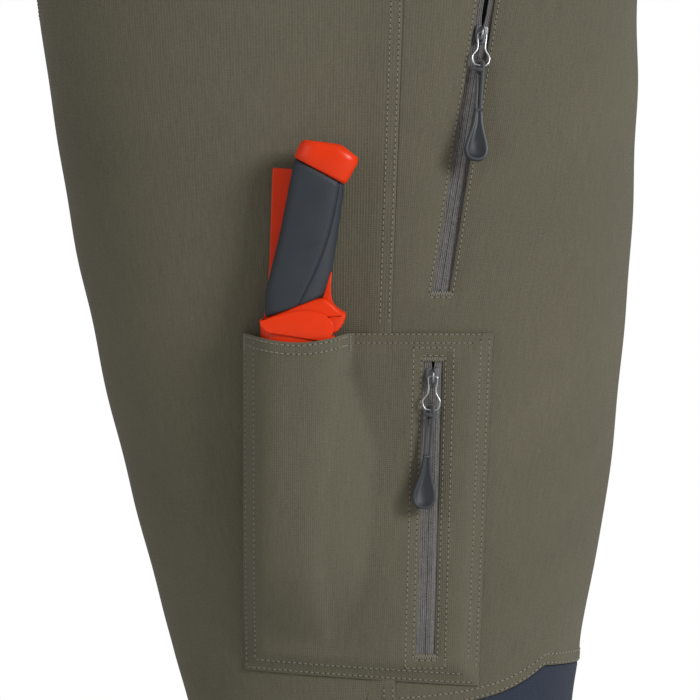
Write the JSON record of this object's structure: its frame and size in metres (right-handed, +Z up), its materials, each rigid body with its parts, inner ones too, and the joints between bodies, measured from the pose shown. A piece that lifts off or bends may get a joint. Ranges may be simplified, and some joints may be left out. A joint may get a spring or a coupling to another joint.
{
  "type": "chainsaw chaps",
  "caption": "Full-wrap saw-protection chaps with inner-leg zips, waist belt, zipped hip and thigh pockets, and a sheathed knife in the thigh pocket.",
  "frame": {"origin": "middle of the waist, at the height of the belt's middle, where the wearer holds the part up", "axes": "+X to the wearer's front, +Y to the wearer's left, +Z up"},
  "size_m": [0.3277, 0.3745, 1.025],
  "materials": {
    "olive_fabric": "woven, matt",
    "slate_fabric": "woven, abrasion-proof, matt",
    "pad_fibre": "loose knitted saw-stopping fibre",
    "lining_mesh": "knitted mesh",
    "zip_tape": "woven tape with a nylon coil",
    "pull_cord": "braided",
    "pull_rubber": "moulded, satin",
    "plated_steel": "plated, satin",
    "orange_plastic": "glossy moulded plastic",
    "grip_rubber": "fine-grained soft grip",
    "blade_steel": "ground steel",
    "webbing": "woven webbing",
    "black_plastic": "moulded acetal"
  },
  "bodies": {
    "garment": {"belt_loop_lf": "olive_fabric", "belt_loop_ls": "olive_fabric", "belt_loop_rf": "olive_fabric", "belt_loop_rs": "olive_fabric", "belt_webbing": "webbing", "boot_hook_l": "plated_steel", "boot_hook_r": "plated_steel", "buckle_socket": "black_plastic", "cargo_pocket": "olive_fabric", "cargo_zip_front_half": "zip_tape", "cargo_zip_rear_half": "zip_tape", "cuff_l": "slate_fabric", "cuff_r": "slate_fabric", "front_link_strap": "webbing", "hip_l_zip_front_half": "zip_tape", "hip_l_zip_rear_half": "zip_tape", "hip_pocket_bag_l": "lining_mesh", "hip_pocket_bag_r": "lining_mesh", "hip_r_zip_front_half": "zip_tape", "hip_r_zip_rear_half": "zip_tape", "knee_panel_l": "slate_fabric", "knee_panel_r": "slate_fabric", "leg_back_l": "olive_fabric", "leg_back_r": "olive_fabric", "leg_l_zip_front_half": "zip_tape", "leg_l_zip_rear_half": "zip_tape", "leg_r_zip_front_half": "zip_tape", "leg_r_zip_rear_half": "zip_tape", "lining_l": "lining_mesh", "lining_r": "lining_mesh", "saw_cut_pad_l": "pad_fibre", "saw_cut_pad_r": "pad_fibre", "shin_panel_l": "olive_fabric", "shin_panel_r": "olive_fabric", "thigh_front_l": "olive_fabric", "thigh_front_r": "olive_fabric", "waistband_l": "olive_fabric", "waistband_r": "olive_fabric"},
    "hip_r_slider": {"hip_r_zip_slider": "plated_steel"},
    "hip_r_hanging_pull": {"hip_r_zip_bail": "plated_steel", "hip_r_zip_cord": "pull_cord", "hip_r_zip_pull": "pull_rubber"},
    "hip_l_slider": {"hip_l_zip_slider": "plated_steel"},
    "hip_l_hanging_pull": {"hip_l_zip_bail": "plated_steel", "hip_l_zip_cord": "pull_cord", "hip_l_zip_pull": "pull_rubber"},
    "cargo_slider": {"cargo_zip_slider": "plated_steel"},
    "cargo_hanging_pull": {"cargo_zip_bail": "plated_steel", "cargo_zip_cord": "pull_cord", "cargo_zip_pull": "pull_rubber"},
    "leg_r_slider": {"leg_r_zip_slider": "plated_steel"},
    "leg_r_hanging_pull": {"leg_r_zip_ring": "plated_steel"},
    "leg_l_slider": {"leg_l_zip_slider": "plated_steel"},
    "leg_l_hanging_pull": {"leg_l_zip_ring": "plated_steel"},
    "sheath": {"knife_sheath": "orange_plastic"},
    "knife": {"knife_core": "orange_plastic", "knife_grip": "grip_rubber", "knife_blade": "blade_steel"},
    "buckle_prongs": {"buckle_plug": "black_plastic", "belt_tail": "webbing"}
  },
  "joints": [
    {"name": "hip_r_zip_run", "type": "slide", "parent": "garment", "child": "hip_r_slider", "axis": [0.1571, 0.0442, 0.9866], "range_m": [-0.132, 0.036]},
    {"name": "hip_r_pull_lift", "type": "hinge", "parent": "hip_r_slider", "child": "hip_r_hanging_pull", "pos_m": [0.07031, -0.16092, -0.19184], "axis": [-0.9894, -0.1453, 0.0047], "range_deg": [0, 150]},
    {"name": "hip_l_zip_run", "type": "slide", "parent": "garment", "child": "hip_l_slider", "axis": [0.1571, -0.0442, 0.9866], "range_m": [-0.132, 0.036]},
    {"name": "hip_l_pull_lift", "type": "hinge", "parent": "hip_l_slider", "child": "hip_l_hanging_pull", "pos_m": [0.07031, 0.16092, -0.19184], "axis": [0.9894, -0.1453, -0.0047], "range_deg": [0, 150]},
    {"name": "cargo_zip_run", "type": "slide", "parent": "garment", "child": "cargo_slider", "axis": [0.0269, -0.0538, 0.9982], "range_m": [-0.141, 0.0025]},
    {"name": "cargo_pull_lift", "type": "hinge", "parent": "cargo_slider", "child": "cargo_hanging_pull", "pos_m": [0.04408, -0.17291, -0.37436], "axis": [-0.9971, -0.0763, -0.0042], "range_deg": [0, 150]},
    {"name": "leg_r_zip_run", "type": "slide", "parent": "garment", "child": "leg_r_slider", "axis": [-0.0152, 0.0383, 0.9991], "range_m": [-0.046, 0.728]},
    {"name": "leg_r_pull_lift", "type": "hinge", "parent": "leg_r_slider", "child": "leg_r_hanging_pull", "pos_m": [0.01316, -0.04272, -0.94509], "axis": [0.9994, 0.0321, 0.014], "range_deg": [0, 150]},
    {"name": "leg_l_zip_run", "type": "slide", "parent": "garment", "child": "leg_l_slider", "axis": [-0.0152, -0.0383, 0.9991], "range_m": [-0.046, 0.728]},
    {"name": "leg_l_pull_lift", "type": "hinge", "parent": "leg_l_slider", "child": "leg_l_hanging_pull", "pos_m": [0.01316, 0.04272, -0.94509], "axis": [-0.9994, 0.0321, -0.014], "range_deg": [0, 150]},
    {"name": "sheath_lift", "type": "slide", "parent": "garment", "child": "sheath", "axis": [0.1564, -0.0689, 0.9853], "range_m": [0, 0.125]},
    {"name": "knife_draw", "type": "slide", "parent": "sheath", "child": "knife", "axis": [0.1564, -0.0689, 0.9853], "range_m": [0, 0.105]},
    {"name": "buckle_pull", "type": "slide", "parent": "garment", "child": "buckle_prongs", "axis": [0, 1, 0], "range_m": [0, 0.028]}
  ]
}
